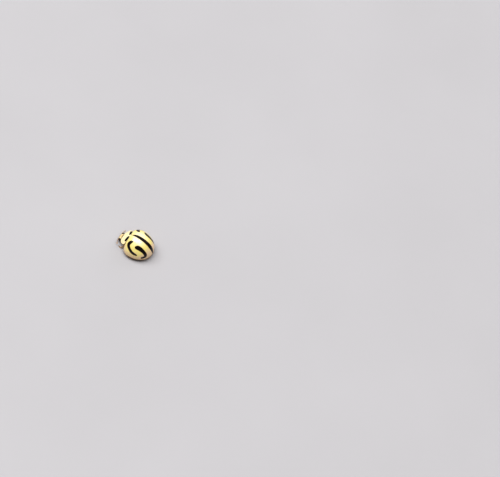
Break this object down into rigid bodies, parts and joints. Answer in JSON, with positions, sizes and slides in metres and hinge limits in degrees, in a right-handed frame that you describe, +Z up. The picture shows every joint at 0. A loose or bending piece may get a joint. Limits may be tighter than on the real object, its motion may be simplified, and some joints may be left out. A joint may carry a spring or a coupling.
{
  "type": "ladybird",
  "caption": "Life-size still model of a small domed yellow ladybird with curved black stripes, standing on its feet with feelers forward.",
  "frame": {"origin": "on the ground, under the middle of the body between the mouth and the tail", "axes": "+Z up, head towards -Y, the insect's own left side towards +X"},
  "size_m": [0.0036, 0.0044, 0.0024],
  "materials": {
    "wing_case": "lacquered yellow horn with curved black stripes",
    "shield": "glossy cream-yellow horn",
    "underside": "satin dark brown horn with short pale hairs",
    "head": "satin cream-yellow horn",
    "eye": "faceted black",
    "limb": "translucent honey-brown horn"
  },
  "bodies": {
    "root": {"elytron_left": "wing_case", "elytron_right": "wing_case", "scutellum": "shield", "pronotum": "shield", "prosternum": "underside", "thorax": "underside", "abdomen": "underside", "head": "head", "mouthparts": "limb", "eye_left": "eye", "eye_right": "eye", "antenna_left": "limb", "antenna_right": "limb", "femur_front_left": "limb", "tibia_front_left": "limb", "tarsus_front_left": "limb", "femur_mid_left": "limb", "tibia_mid_left": "limb", "tarsus_mid_left": "limb", "femur_hind_left": "limb", "tibia_hind_left": "limb", "tarsus_hind_left": "limb", "femur_front_right": "limb", "tibia_front_right": "limb", "tarsus_front_right": "limb", "femur_mid_right": "limb", "tibia_mid_right": "limb", "tarsus_mid_right": "limb", "femur_hind_right": "limb", "tibia_hind_right": "limb", "tarsus_hind_right": "limb"}
  },
  "joints": []
}
